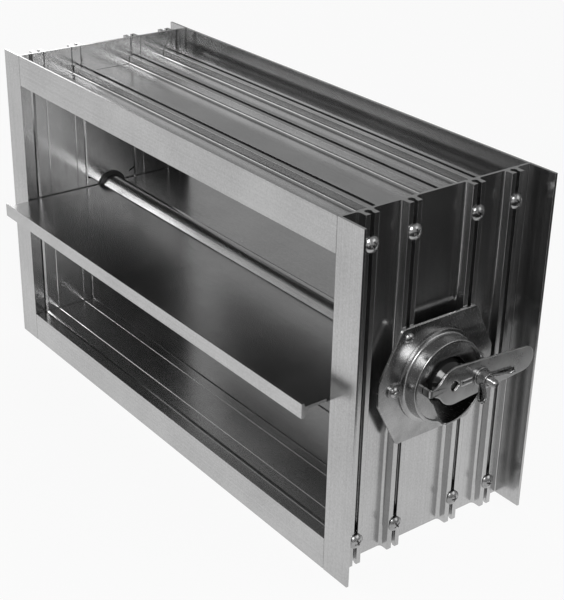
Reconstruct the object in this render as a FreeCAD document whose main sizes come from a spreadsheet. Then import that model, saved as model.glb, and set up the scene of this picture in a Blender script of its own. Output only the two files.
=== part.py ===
import FreeCAD, Part
import Sketcher
import math
import os

# Manual control damper, millimetres.
# X runs along the blade towards the lock, Y from the front face to the back, Z up.
# The origin is the centre of the duct opening, on the axis of the blade's shafts.

doc = FreeCAD.newDocument("ControlDamper")
Vector = FreeCAD.Vector
tolerance = 0.01

# Driving dimensions
driving = [
    # frame
    ("width", 460), ("height", 260), ("depth", 165), ("flange", 25), ("wall", 2),
    # screw ports and fine lines of the frame extrusion
    ("port_near", 27.4), ("port_far", 62.4), ("port_centre", 4.9), ("port_bore", 2.5),
    ("port_top", 9.3), ("port_half", 5.5), ("port_slit", 3.2), ("port_root", 2.5), ("port_edge", 0.6),
    ("line_width", 1), ("line_depth", 0.4), ("wide_line", 3.6), ("wide_line_depth", 0.6),
    ("edge_line", 71.5), ("middle_line", 59.5), ("port_line", 33.5),
    ("centre_line", 24.5), ("centre_line_width", 2), ("face_line", 8), ("face_line_depth", 0.3),
    # screws at the frame's corners
    ("screw_radius", 2.45), ("screw_length", 31), ("screw_point", 4), ("screw_head", 5.5),
    ("head_rim", 1), ("head_height", 3.4), ("recess_span", 5.6), ("recess_width", 1.2),
    ("recess_depth", 1.8), ("screw_play", 0.3), ("screw_tip", 0.6),
    # blade extrusion
    ("tip_gap", 1), ("end_gap", 0.3), ("skin_top", 3.6), ("skin", 2.2), ("lip", 2.4),
    ("lip_rise", 6.2), ("lip_drop", 4.7), ("lip_foot", 6), ("tube", 8.8),
    ("tube_root", 20),
    # shafts and bushes
    ("shaft", 5), ("shaft_ease", 0.6), ("shaft_grip", 60), ("shaft_tail", 5),
    ("running_fit", 0.08), ("seat_fit", 0.03),
    ("bush_flange", 1.5), ("bush_rim", 15), ("bush_barrel", 9), ("bush_tail", 3),
    ("grub", 2.5), ("grub_spread", 15), ("grub_inset", 22), ("grub_socket", 1.3),
    ("washer", 9), ("washer_thick", 1.2), ("ring_thick", 1), ("ring_outer", 8.5),
    ("ring_inner", 4.2), ("ring_seat", 0.1), ("ring_mouth", 6), ("slide_gap", 0.3),
    # plate of the lock
    ("plate", 2), ("plate_half_height", 43), ("plate_top_half", 33), ("plate_half_width", 51),
    ("plate_side_half", 8), ("plate_corner", 4), ("plate_hole", 7),
    ("plate_screw", 2), ("plate_screw_length", 9), ("plate_screw_point", 2), ("plate_screw_tip", 0.4),
    ("plate_screw_head", 3.8), ("plate_screw_rim", 0.7), ("plate_screw_height", 2.4),
    ("plate_recess_width", 1), ("plate_recess_depth", 1.3), ("plate_screw_up", 35.7),
    ("pilot_floor", 0.5),
    # drum of the lock
    ("sheet", 1.5), ("drum_foot", 34), ("drum", 30.4), ("drum_height", 12.1), ("drum_bend", 2),
    ("rim_round", 1), ("rim_width", 2.4), ("face_drop", 1.4), ("face_opening", 17.8), ("window_play", 1.5),
    ("window_lead", 156), ("quarter_turn", 90), ("guide_round", 2.5), ("ear_reach", 38.8), ("ear", 5),
    ("rivet", 2), ("rivet_head", 3.6), ("rivet_dome", 1.7), ("rivet_tail", 1.1),
    # hub on the shaft inside the drum
    ("hub_lift", 0.6), ("hub_foot", 17), ("hub_band", 3.5), ("hub_top", 11), ("hub_height", 15.8),
    ("hub_recess", 1.8), ("arm_up", 5), ("arm", 3), ("arm_half", 5),
    # lever, clamp bolt, washer and wing nut
    ("lever", 1.8), ("lever_disc", 14), ("handle", 64.6), ("handle_end", 9.4), ("lever_arm", 2.6),
    ("lever_arm_root", 12), ("lever_reach", 22.4), ("lever_hole", 3.8),
    ("rib", 2.4), ("rib_rise", 1.3), ("rib_start", 5.5), ("rib_end", 15.5), ("rib_round", 1.05),
    ("bolt_circle", 23.5), ("bolt", 3), ("bolt_head", 4.8), ("bolt_head_thick", 3.4),
    ("bolt_stand", 14.5), ("bolt_chamfer", 0.8), ("bolt_fit", 0.05), ("clamp_washer", 7),
    ("clamp_washer_thick", 1.5), ("nut_base", 6.2), ("nut_top", 5), ("nut_foot", 1.2), ("nut_height", 6.5),
    ("wing", 2.4), ("wing_root", 4.5), ("wing_tip", 13.4), ("wing_tip_up", 12.2), ("wing_round", 4),
    ("wing_lean", 46), ("wing_turn", 30),
]

sheet = doc.addObject("Spreadsheet::Sheet", "Sizes")
for row, (alias, number) in enumerate(driving, start=1):
    sheet.set("A%d" % row, alias)
    sheet.set("B%d" % row, str(number))
    sheet.setAlias("B%d" % row, alias)
doc.recompute()


class Size:
    """A length with its value and the sheet formula that gives it."""

    def __init__(self, value, formula):
        self.value = float(value)
        self.formula = formula

    def __add__(self, other):
        other = size(other)
        return Size(self.value + other.value, "(%s + %s)" % (self.formula, other.formula))

    def __sub__(self, other):
        other = size(other)
        return Size(self.value - other.value, "(%s - %s)" % (self.formula, other.formula))

    def __mul__(self, other):
        other = size(other)
        return Size(self.value * other.value, "(%s * %s)" % (self.formula, other.formula))

    def __truediv__(self, other):
        other = size(other)
        return Size(self.value / other.value, "(%s / %s)" % (self.formula, other.formula))

    def __neg__(self):
        return Size(-self.value, "(0 - %s)" % self.formula)

    def __rsub__(self, other):
        return size(other) - self

    __radd__ = __add__
    __rmul__ = __mul__


def size(number):
    """Plain numbers and named sizes alike as a Size."""
    return number if isinstance(number, Size) else Size(number, "%.12g" % number)


def named(alias):
    """The driving dimension with this alias."""
    return Size(sheet.get(alias), "Sizes.%s" % alias)


def root(square):
    return Size(math.sqrt(square.value), "sqrt(%s)" % square.formula)


def cosine(degrees):
    return Size(math.cos(math.radians(degrees.value)), "cos(%s * 1 deg)" % degrees.formula)


def sine(degrees):
    return Size(math.sin(math.radians(degrees.value)), "sin(%s * 1 deg)" % degrees.formula)


# Sketching and feature helpers

class Bend:
    """An arc to the next corner of a loop, about a centre, turning left or right."""

    def __init__(self, centre, radius, left=True):
        self.centre = centre
        self.radius = size(radius)
        self.left = left


def flat(corner):
    return Vector(size(corner[0]).value, size(corner[1]).value, 0)


def arc_between(start, end, bend):
    """The arc from start to end as the sketch wants it, anticlockwise."""
    centre = flat(bend.centre)
    first, last = (start, end) if bend.left else (end, start)
    first_angle = math.atan2(first.y - centre.y, first.x - centre.x)
    last_angle = math.atan2(last.y - centre.y, last.x - centre.x)
    if last_angle <= first_angle:
        last_angle += 2 * math.pi
    circle = Part.Circle(centre, Vector(0, 0, 1), bend.radius.value)
    return Part.ArcOfCircle(circle, first_angle, last_angle)


def centre_measure(edge, chord, bend):
    """The one dimension that an arc needs besides its ends: where its centre lies."""
    if abs(chord.x) < abs(chord.y):
        return ("DistanceX", (-1, 1, edge, 3), size(bend.centre[0]))
    return ("DistanceY", (-1, 1, edge, 3), size(bend.centre[1]))


def sketch(body, label, plane, loops=(), circles=(), raised=0):
    """A sketch on an origin plane of the body, with every corner dimensioned from the origin."""
    drawing = body.newObject("Sketcher::SketchObject", label)
    support = [item for item in body.Origin.OriginFeatures if item.Role == plane][0]
    drawing.AttachmentSupport = [(support, "")]
    drawing.MapMode = "FlatFace"
    shapes = []
    joints = []
    measures = []
    for loop in loops:
        starts = []
        ends = []
        for corner, following in zip(loop, loop[1:] + loop[:1]):
            edge = len(shapes)
            turns = len(corner) > 2
            right = turns and not corner[2].left
            if turns:
                shapes.append(arc_between(flat(corner), flat(following), corner[2]))
                measures.append(centre_measure(edge, flat(following) - flat(corner), corner[2]))
            else:
                shapes.append(Part.LineSegment(flat(corner), flat(following)))
            starts.append((edge, 2 if right else 1))
            ends.append((edge, 1 if right else 2))
            measures.append(("DistanceX", (-1, 1) + starts[-1], size(corner[0])))
            measures.append(("DistanceY", (-1, 1) + starts[-1], size(corner[1])))
        joints += [end + start for end, start in zip(ends, starts[1:] + starts[:1])]
    for across, up, radius in circles:
        index = len(shapes)
        shapes.append(Part.Circle(flat((across, up)), Vector(0, 0, 1), size(radius).value))
        measures.append(("DistanceX", (-1, 1, index, 3), size(across)))
        measures.append(("DistanceY", (-1, 1, index, 3), size(up)))
        measures.append(("Radius", (index,), size(radius)))
    drawing.addGeometry(shapes, False)
    rules = [Sketcher.Constraint("Coincident", *joint) for joint in joints]
    rules += [Sketcher.Constraint(kind, *place, value.value) for kind, place, value in measures]
    drawing.addConstraint(rules)
    for index, (kind, place, value) in enumerate(measures, start=len(joints)):
        if "Sizes" in value.formula:
            drawing.setExpression("Constraints[%d]" % index, value.formula)
    drawing.setExpression("AttachmentOffset.Base.z", size(raised).formula)
    return built(drawing)


def built(feature):
    """Brings the document up to date and stops at a feature that failed."""
    doc.recompute()
    if "Invalid" in feature.State or "Error" in feature.State:
        raise RuntimeError("%s did not build" % feature.Label)
    return feature


def pad(body, label, profile, length, both_ways=False, backwards=False):
    feature = body.newObject("PartDesign::Pad", label)
    feature.Profile = profile
    feature.setExpression("Length", size(length).formula)
    feature.Midplane = both_ways
    feature.Reversed = backwards
    return built(feature)


def revolve(body, label, profile):
    """Turns a profile about the sketch's own first axis."""
    feature = body.newObject("PartDesign::Revolution", label)
    feature.Profile = profile
    feature.ReferenceAxis = (profile, ["H_Axis"])
    feature.Angle = 360
    return built(feature)


def pocket(body, label, profile, depth=None, backwards=False):
    """Cuts a profile to a depth, or right through both ways, and makes sure that it cut."""
    before = body.Shape.Volume
    feature = body.newObject("PartDesign::Pocket", label)
    feature.Profile = profile
    if depth is None:
        feature.Type = "ThroughAll"
        feature.Midplane = True
    else:
        feature.setExpression("Length", size(depth).formula)
        feature.Reversed = backwards
    built(feature)
    if not body.Shape.Volume < before:
        raise RuntimeError("%s cuts nothing" % label)
    return feature


def new_body(name):
    body = doc.addObject("PartDesign::Body", name)
    body.Label = name
    return body


def place(body, x=0, y=0, z=0, rotation=None):
    """Puts a body at its place, which stays bound to the sheet."""
    if rotation is not None:
        body.Placement = FreeCAD.Placement(Vector(0, 0, 0), rotation)
    for axis, distance in (("x", x), ("y", y), ("z", z)):
        body.setExpression("Placement.Base.%s" % axis, size(distance).formula)
    doc.recompute()


def group(name, pattern, spots):
    """Identical fasteners as one object of separate solids, each at its own spot."""
    solids = []
    for spot in spots:
        solid = pattern.Shape.copy()
        solid.Placement = spot.multiply(pattern.Shape.Placement)
        solids.append(solid)
    feature = doc.addObject("Part::Feature", name)
    feature.Label = name
    feature.Shape = Part.makeCompound(solids)
    return feature


def spot(x, y, z, rotation=FreeCAD.Rotation()):
    return FreeCAD.Placement(Vector(size(x).value, size(y).value, size(z).value), rotation)


# Lines and levels that several pieces share

wall = named("wall")
inner_x = named("width") / 2 - named("flange")
inner_z = named("height") / 2 - named("flange")
half_depth = named("depth") / 2
port_lines = [-named("port_far"), -named("port_near"), named("port_near"), named("port_far")]
port_top = named("port_top")
port_level = inner_z + named("port_centre")
screw_seat = inner_x + port_top
shaft = named("shaft")
blade_end = inner_x - named("bush_flange") - named("end_gap")
bush_end = inner_x + wall + named("bush_tail")
bush_bore = shaft + named("running_fit")

plate_back = inner_x + port_top
plate_front = plate_back + named("plate")
drum_face = named("drum_height") - named("face_drop")
hub_back = plate_front + named("hub_lift")
lever_back = hub_back + named("hub_height")
lever_front = lever_back + named("lever")
bolt_circle = named("bolt_circle")
washer_front = lever_front + named("clamp_washer_thick")


# Frame: four lengths of one extruded channel with screw ports on its outer side

def groove(centre, width, depth):
    """A V line in the inner face of the channel."""
    half = width / 2
    return [(centre - half, 0), (centre, depth), (centre + half, 0)]


def fine_lines():
    """The V lines of one half of the inner face, from the middle outwards."""
    fine = (named("line_width"), named("line_depth"))
    return [
        (named("centre_line"), named("centre_line_width"), named("line_depth")),
        (named("port_line"),) + fine,
        (named("middle_line"),) + fine,
        (named("edge_line"), named("wide_line"), named("wide_line_depth")),
    ]


def port(line):
    """A screw port, open outwards through a slit, from its right foot to its left."""
    half = named("port_half")
    foot = named("port_root")
    edge = named("port_edge")
    bore = named("port_bore")
    centre = named("port_centre")
    slit = named("port_slit") / 2
    throat = centre + root(bore * bore - slit * slit)
    return [
        (line + half + foot, wall, Bend((line + half + foot, wall + foot), foot, left=False)),
        (line + half, wall + foot),
        (line + half, port_top - edge, Bend((line + half - edge, port_top - edge), edge)),
        (line + half - edge, port_top),
        (line + slit, port_top),
        (line + slit, throat, Bend((line, centre), bore, left=False)),
        (line - slit, throat),
        (line - slit, port_top),
        (line - half + edge, port_top, Bend((line - half + edge, port_top - edge), edge)),
        (line - half, port_top - edge),
        (line - half, wall + foot, Bend((line - half - foot, wall + foot), foot, left=False)),
        (line - half - foot, wall),
    ]


def channel_outline():
    """The section of the frame extrusion: across is the depth, up is away from the duct."""
    flange = named("flange")
    line = named("face_line")
    half = named("line_width") / 2
    deep = half_depth - named("face_line_depth")
    outline = [(-half_depth, 0)]
    for level, width, depth in reversed(fine_lines()):
        outline += groove(-level, width, depth)
    for level, width, depth in fine_lines():
        outline += groove(level, width, depth)
    outline += [(half_depth, 0), (half_depth, line - half), (deep, line), (half_depth, line + half)]
    outline += [(half_depth, flange), (half_depth - wall, flange), (half_depth - wall, wall)]
    for port_line in reversed(port_lines):
        outline += port(port_line)
    outline += [(wall - half_depth, wall), (wall - half_depth, flange), (-half_depth, flange)]
    outline += [(-half_depth, line + half), (-deep, line), (-half_depth, line - half)]
    return outline


def frame_profile(name, length, outward, x=0, z=0):
    body = new_body(name)
    section = sketch(body, name + "_section", "XY_Plane", [channel_outline()])
    pad(body, name + "_extrusion", section, length, both_ways=True)
    across = Vector(0, 1, 0)
    turn = FreeCAD.Rotation(across, outward, across.cross(outward), "ZXY")
    place(body, x=x, z=z, rotation=turn)
    return body


def drill_side(body):
    """The corner screws' holes and the bush's hole in a side profile."""
    hole = named("screw_radius") + named("screw_play")
    circles = [(0, 0, named("bush_barrel") + named("seat_fit"))]
    for line in port_lines:
        circles += [(line, port_level, hole), (line, -port_level, hole)]
    holes = sketch(body, body.Name + "_holes", "XZ_Plane", circles=circles)
    pocket(body, body.Name + "_drilling", holes)


pilot = named("plate_screw") + named("seat_fit")
# The plate's two screws stand at opposite corners. The side profile's own length runs downwards.
screw_spots = [(side * named("port_near"), -side * named("plate_screw_up")) for side in (-1, 1)]
plate_pilots = [(across, up, pilot) for across, up in screw_spots]
port_pilots = [(across, -up, pilot) for across, up in screw_spots]

top_profile = frame_profile("top_profile", inner_x * 2, Vector(0, 0, 1), z=inner_z)
bottom_profile = frame_profile("bottom_profile", inner_x * 2, Vector(0, 0, -1), z=-inner_z)
left_side_profile = frame_profile("left_side_profile", named("height"), Vector(-1, 0, 0), x=-inner_x)
right_side_profile = frame_profile("right_side_profile", named("height"), Vector(1, 0, 0), x=inner_x)
drill_side(left_side_profile)
drill_side(right_side_profile)
pilot_depth = port_top - wall - named("pilot_floor")
pilot_holes = sketch(right_side_profile, "lock_pilot_holes", "XZ_Plane", circles=port_pilots,
                     raised=-port_top)
pocket(right_side_profile, "lock_pilot_drilling", pilot_holes, pilot_depth, backwards=True)


# Pan-head screws with a cross recess

def pan_screw(name, shank, point, head, recess):
    """A screw along X whose head seats at X = 0.

    shank is its radius and length, point its length and end radius, head its radius, rim and height,
    recess its span, width and depth.
    """
    body = new_body(name)
    stem, length = shank
    taper, tip = point
    reach, rim, height = head
    dome = height - rim
    ball = (reach * reach + dome * dome) / (dome * 2)
    profile = [
        (-length, 0), (-length, tip), (taper - length, stem), (0, stem), (0, reach),
        (rim, reach, Bend((height - ball, 0), ball, left=False)), (height, 0),
    ]
    revolve(body, name + "_turning", sketch(body, name + "_profile", "XY_Plane", [profile]))
    span, width, deep = recess
    far = span / 2
    near = width / 2
    cross = [
        (far, -near), (far, near), (near, near), (near, far), (-near, far), (-near, near),
        (-far, near), (-far, -near), (-near, -near), (-near, -far), (near, -far), (near, -near),
    ]
    driver = sketch(body, name + "_cross", "YZ_Plane", [cross], raised=height)
    pocket(body, name + "_recess", driver, deep)
    return body


corner_screw = pan_screw(
    "corner_screw",
    (named("screw_radius"), named("screw_length")),
    (named("screw_point"), named("screw_tip")),
    (named("screw_head"), named("head_rim"), named("head_height")),
    (named("recess_span"), named("recess_width"), named("recess_depth")))
plate_screw = pan_screw(
    "plate_screw",
    (named("plate_screw"), named("plate_screw_length")),
    (named("plate_screw_point"), named("plate_screw_tip")),
    (named("plate_screw_head"), named("plate_screw_rim"), named("plate_screw_height")),
    (named("plate_screw_head"), named("plate_recess_width"), named("plate_recess_depth")))

about_z = FreeCAD.Rotation(Vector(0, 0, 1), 180)
for end_name, level in (("top", port_level), ("bottom", -port_level)):
    group("right_%s_screws" % end_name, corner_screw,
          [spot(screw_seat, line, level) for line in port_lines])
    group("left_%s_screws" % end_name, corner_screw,
          [spot(-screw_seat, line, level, about_z) for line in port_lines])


# Blade: one extrusion with a tube on the shaft axis and a lip along each long edge

def blade_outline():
    edge = inner_z - named("tip_gap")
    top = named("skin_top")
    under = top - named("skin")
    tube = named("tube")
    lip = edge - named("lip")
    foot = edge - named("lip_foot")
    belly = root(tube * tube - under * under)
    hollow = named("tube_root")
    level = top + hollow
    span = tube + hollow
    start = root(span * span - level * level)
    touch = tube / span
    return [
        (-edge, -named("lip_drop")), (-lip, -named("lip_drop")), (-foot, under),
        (-belly, under, Bend((0, 0), tube)), (belly, under),
        (foot, under), (lip, -named("lip_drop")), (edge, -named("lip_drop")),
        (edge, named("lip_rise")), (lip, named("lip_rise")), (lip, top),
        (start, top, Bend((start, level), hollow, left=False)),
        (start * touch, level * touch, Bend((0, 0), tube)),
        (-(start * touch), level * touch, Bend((-start, level), hollow, left=False)),
        (-start, top), (-lip, top), (-lip, named("lip_rise")), (-edge, named("lip_rise")),
    ]


blade = new_body("blade")
blade_section = sketch(blade, "blade_section", "YZ_Plane", [blade_outline()],
                       [(0, 0, shaft + named("seat_fit"))])
pad(blade, "blade_extrusion", blade_section, blade_end * 2, both_ways=True)
grub_lines = [blade_end - named("grub_inset"), blade_end - named("grub_inset") - named("grub_spread")]
grub_holes = sketch(blade, "blade_grub_holes", "XY_Plane",
                    circles=[(side * line, 0, named("grub") + named("seat_fit"))
                             for side in (-1, 1) for line in grub_lines])
pocket(blade, "blade_grub_drilling", grub_holes, named("tube") * 2)


# Shafts, bushes and what holds the left shaft in its bush

def bush(name, side):
    """A flanged plastic bush pressed into a side profile from the duct side."""
    body = new_body(name)
    outer = named("bush_barrel")
    profile = [
        (-named("bush_flange"), bush_bore), (bush_end - inner_x, bush_bore),
        (bush_end - inner_x, outer), (0, outer), (0, named("bush_rim")),
        (-named("bush_flange"), named("bush_rim")),
    ]
    revolve(body, name + "_turning", sketch(body, name + "_profile", "XY_Plane", [profile]))
    turn = about_z if side < 0 else FreeCAD.Rotation()
    place(body, x=side * inner_x, rotation=turn)


bush("left_bush", -1)
bush("right_bush", 1)


def shaft_body(name, inner, outer, grooves=()):
    """A round shaft along X with a small chamfer at both ends and optional ring grooves."""
    body = new_body(name)
    ease = named("shaft_ease")
    profile = [(inner, 0), (inner, shaft - ease), (inner + ease, shaft)]
    for start, end, bottom in grooves:
        profile += [(start, shaft), (start, bottom), (end, bottom), (end, shaft)]
    profile += [(outer - ease, shaft), (outer, shaft - ease), (outer, 0)]
    revolve(body, name + "_turning", sketch(body, name + "_profile", "XY_Plane", [profile]))
    return body


grip_end = blade_end - named("shaft_grip")
washer_back = bush_end + named("slide_gap")
ring_back = washer_back + named("washer_thick") + named("seat_fit")
ring_front = ring_back + named("ring_thick")
groove_radius = named("ring_inner") - named("ring_seat")
shaft_body("drive_shaft", grip_end, lever_back - named("hub_recess"))
idle_shaft = shaft_body("idle_shaft", grip_end, ring_front + named("shaft_tail"),
                        [(ring_back - named("seat_fit"), ring_front + named("seat_fit"), groove_radius)])
place(idle_shaft, rotation=about_z)

grub_screw = new_body("grub_screw")
grub_length = named("tube") - shaft - named("seat_fit")
pad(grub_screw, "grub_blank",
    sketch(grub_screw, "grub_circle", "XY_Plane", circles=[(0, 0, named("grub"))]), grub_length)
corner_reach = named("grub_socket")
half_flat = corner_reach / 2
hex_rise = root(corner_reach * corner_reach - half_flat * half_flat)
hexagon = [
    (corner_reach, 0), (half_flat, hex_rise), (-half_flat, hex_rise),
    (-corner_reach, 0), (-half_flat, -hex_rise), (half_flat, -hex_rise),
]
socket = sketch(grub_screw, "grub_socket", "XY_Plane", [hexagon], raised=grub_length)
pocket(grub_screw, "grub_hexagon", socket, grub_length / 2)
facing_down = FreeCAD.Rotation(Vector(1, 0, 0), 180)
group("blade_grub_screws", grub_screw,
      [spot(side * line, 0, -(shaft + named("seat_fit")), facing_down)
       for side in (-1, 1) for line in grub_lines])

idle_washer = new_body("idle_shaft_washer")
pad(idle_washer, "idle_washer_blank",
    sketch(idle_washer, "idle_washer_circles", "YZ_Plane",
           circles=[(0, 0, named("washer")), (0, 0, bush_bore)]), named("washer_thick"), backwards=True)
place(idle_washer, x=-washer_back)

mouth = named("ring_mouth") / 2
ring_outer = named("ring_outer")
ring_inner = named("ring_inner")
outer_mouth = root(ring_outer * ring_outer - mouth * mouth)
inner_mouth = root(ring_inner * ring_inner - mouth * mouth)
snap_ring = new_body("idle_shaft_snap_ring")
ring_loop = [
    (mouth, -outer_mouth, Bend((0, 0), ring_outer)), (-mouth, -outer_mouth),
    (-mouth, -inner_mouth, Bend((0, 0), ring_inner, left=False)), (mouth, -inner_mouth),
]
pad(snap_ring, "snap_ring_blank", sketch(snap_ring, "snap_ring_outline", "YZ_Plane", [ring_loop]),
    named("ring_thick"), backwards=True)
place(snap_ring, x=-ring_back)


# Lock plate: a flat pressing with eight sides, screwed to the two middle ports

lock_plate = new_body("lock_plate")
top_half = named("plate_top_half")
half_height = named("plate_half_height")
half_width = named("plate_half_width")
side_half = named("plate_side_half")
octagon = [
    (half_width, -side_half), (half_width, side_half), (top_half, half_height), (-top_half, half_height),
    (-half_width, side_half), (-half_width, -side_half), (-top_half, -half_height), (top_half, -half_height),
]
rivet_hole = named("rivet") + named("seat_fit")
rivet_holes = [(side * named("ear_reach"), 0, rivet_hole) for side in (-1, 1)]
plate_holes = [(0, 0, named("plate_hole"))] + plate_pilots + rivet_holes
blank = sketch(lock_plate, "lock_plate_outline", "YZ_Plane", [octagon], plate_holes)
plate_pad = pad(lock_plate, "lock_plate_blank", blank, named("plate"))


def corner_edges(feature, corners):
    """Names of the straight edges along X that stand on these corners."""
    found = []
    for index, edge in enumerate(feature.Shape.Edges, start=1):
        middle = edge.CenterOfMass
        along_x = edge.Curve.TypeId == "Part::GeomLine" and abs(edge.tangentAt(0).x) > 1 - tolerance
        if along_x and any(math.hypot(middle.y - y, middle.z - z) < tolerance for y, z in corners):
            found.append("Edge%d" % index)
    return found


def fillet(body, label, feature, edges, radius):
    rounding = body.newObject("PartDesign::Fillet", label)
    rounding.Base = (feature, edges)
    rounding.setExpression("Radius", size(radius).formula)
    return built(rounding)


plate_corners = [(flat(corner).x, flat(corner).y) for corner in octagon]
fillet(lock_plate, "lock_plate_corners", plate_pad, corner_edges(plate_pad, plate_corners),
       named("plate_corner"))
place(lock_plate, x=plate_back)

group("lock_plate_screws", plate_screw, [spot(plate_front, across, up) for across, up in screw_spots])


# Lock drum: a pressed cup with a rolled foot, a recessed face, a window for the clamp bolt
# and, along the window, a raised wall that the lever is clamped against

lock_drum = new_body("lock_drum")
gauge = named("sheet")
drum = named("drum")
drum_height = named("drum_height")
bend = named("drum_bend")
rim = named("rim_round")
inside = drum - gauge
rim_inner = drum - named("rim_width")
opening = named("face_opening")
cup = [
    (0, inside), (0, named("drum_foot")), (gauge, named("drum_foot")),
    (gauge, drum + bend, Bend((gauge + bend, drum + bend), bend)), (gauge + bend, drum),
    (drum_height - rim, drum, Bend((drum_height - rim, drum - rim), rim, left=False)),
    (drum_height, drum - rim), (drum_height, rim_inner), (drum_face, rim_inner), (drum_face, opening),
    (drum_face - gauge, opening), (drum_face - gauge, inside),
]
revolve(lock_drum, "lock_drum_pressing", sketch(lock_drum, "lock_drum_profile", "XY_Plane", [cup]))
ear = named("ear")
ear_reach = named("ear_reach")
right_ear = [(drum, -ear), (ear_reach, -ear, Bend((ear_reach, 0), ear)), (ear_reach, ear), (drum, ear)]
left_ear = [(-drum, ear), (-ear_reach, ear, Bend((-ear_reach, 0), ear)), (-ear_reach, -ear), (-drum, -ear)]
ears = sketch(lock_drum, "lock_drum_ears", "YZ_Plane", [right_ear, left_ear])
pad(lock_drum, "lock_drum_ear_pads", ears, gauge)
ear_holes = sketch(lock_drum, "lock_drum_ear_holes", "YZ_Plane", circles=rivet_holes)
pocket(lock_drum, "lock_drum_ear_drilling", ear_holes)

# The bolt turns with the blade from the back (+Y) down to the bottom (-Z). The window's front edge
# is a straight cut from the face's opening to the wall.
bolt_angle = Size(math.degrees(math.asin(named("bolt").value / bolt_circle.value)),
                  "asin(%s / %s) / 1 deg" % (named("bolt").formula, bolt_circle.formula))
window_start = bolt_angle + named("window_play")
window_end = -(window_start + named("quarter_turn"))
window_lead = -named("window_lead")
window_inner = opening - gauge


def on_circle(radius, angle):
    return (radius * cosine(angle), radius * sine(angle))


window_loop = [
    on_circle(inside, window_end) + (Bend((0, 0), inside),), on_circle(inside, window_start),
    on_circle(window_inner, window_start) + (Bend((0, 0), window_inner, left=False),),
    on_circle(window_inner, window_lead),
]
window_sketch = sketch(lock_drum, "lock_drum_window", "YZ_Plane", [window_loop], raised=drum_height)
pocket(lock_drum, "lock_drum_window_cut", window_sketch, named("face_drop") + gauge * 2)

guide_loop = [
    on_circle(drum, window_end) + (Bend((0, 0), drum),), on_circle(drum, window_start),
    on_circle(inside, window_start) + (Bend((0, 0), inside, left=False),), on_circle(inside, window_end),
]
guide_base = drum_height - rim
guide_top = lever_back - plate_front - named("slide_gap")
guide_sketch = sketch(lock_drum, "lock_drum_guide", "YZ_Plane", [guide_loop], raised=guide_base)
guide_pad = pad(lock_drum, "lock_drum_guide_wall", guide_sketch, guide_top - guide_base)
guide_corners = [
    "Edge%d" % index for index, edge in enumerate(guide_pad.Shape.Edges, start=1)
    if abs(edge.CenterOfMass.x - guide_top.value) < tolerance and abs(edge.Length - gauge.value) < tolerance]
fillet(lock_drum, "lock_drum_guide_round", guide_pad, guide_corners, named("guide_round"))
place(lock_drum, x=plate_front)

drum_rivet = new_body("drum_rivet")
dome = named("rivet_dome")
rivet_head = named("rivet_head")
rivet_ball = (rivet_head * rivet_head + dome * dome) / (dome * 2)
grip = gauge + named("plate")
tail = grip + named("rivet_tail")
rivet_profile = [
    (-tail, 0), (-tail, rivet_head - named("rivet_tail") / 2), (-grip, rivet_head), (-grip, named("rivet")),
    (0, named("rivet")), (0, rivet_head, Bend((dome - rivet_ball, 0), rivet_ball, left=False)), (dome, 0),
]
revolve(drum_rivet, "drum_rivet_turning",
        sketch(drum_rivet, "drum_rivet_profile", "XY_Plane", [rivet_profile]))
group("drum_rivets", drum_rivet,
      [spot(plate_front + gauge, side * ear_reach, 0) for side in (-1, 1)])


# Lock hub: a cone on the drive shaft, with an arm that carries the clamp bolt

lock_hub = new_body("lock_hub")
hub_height = named("hub_height")
cone = [
    (0, shaft + named("seat_fit")), (hub_height, shaft + named("seat_fit")),
    (hub_height, named("hub_top")), (named("hub_band"), named("hub_foot")), (0, named("hub_foot")),
]
revolve(lock_hub, "lock_hub_turning", sketch(lock_hub, "lock_hub_profile", "XY_Plane", [cone]))
arm_half = named("arm_half")
arm_loop = [
    (named("hub_top"), -arm_half), (bolt_circle, -arm_half, Bend((bolt_circle, 0), arm_half)),
    (bolt_circle, arm_half), (named("hub_top"), arm_half),
]
arm_sketch = sketch(lock_hub, "lock_hub_arm", "YZ_Plane", [arm_loop], raised=named("arm_up"))
pad(lock_hub, "lock_hub_arm_pad", arm_sketch, named("arm"))
bolt_hole = [(bolt_circle, 0, named("bolt") + named("bolt_fit"))]
pocket(lock_hub, "lock_hub_arm_drilling",
       sketch(lock_hub, "lock_hub_arm_hole", "YZ_Plane", circles=bolt_hole))
hub_grub_level = named("hub_band") / 2
hub_grub = named("hub_band") / 2 - named("end_gap")
hub_hole = sketch(lock_hub, "lock_hub_grub_hole", "XY_Plane",
                  circles=[(hub_grub_level, 0, hub_grub + named("seat_fit"))])
pocket(lock_hub, "lock_hub_grub_drilling", hub_hole, named("hub_foot") + gauge, backwards=True)
place(lock_hub, x=hub_back)

hub_set_screw = new_body("hub_set_screw")
set_screw_base = shaft + named("seat_fit")
set_screw_length = named("hub_foot") - set_screw_base - named("end_gap")
set_screw_sketch = sketch(hub_set_screw, "hub_set_screw_circle", "XY_Plane",
                          circles=[(0, 0, hub_grub)], raised=set_screw_base)
pad(hub_set_screw, "hub_set_screw_blank", set_screw_sketch, set_screw_length)
place(hub_set_screw, x=hub_back + hub_grub_level)


# Lever: a flat pressing over the hub, with a long handle and a bent leg on the drum's face

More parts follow.
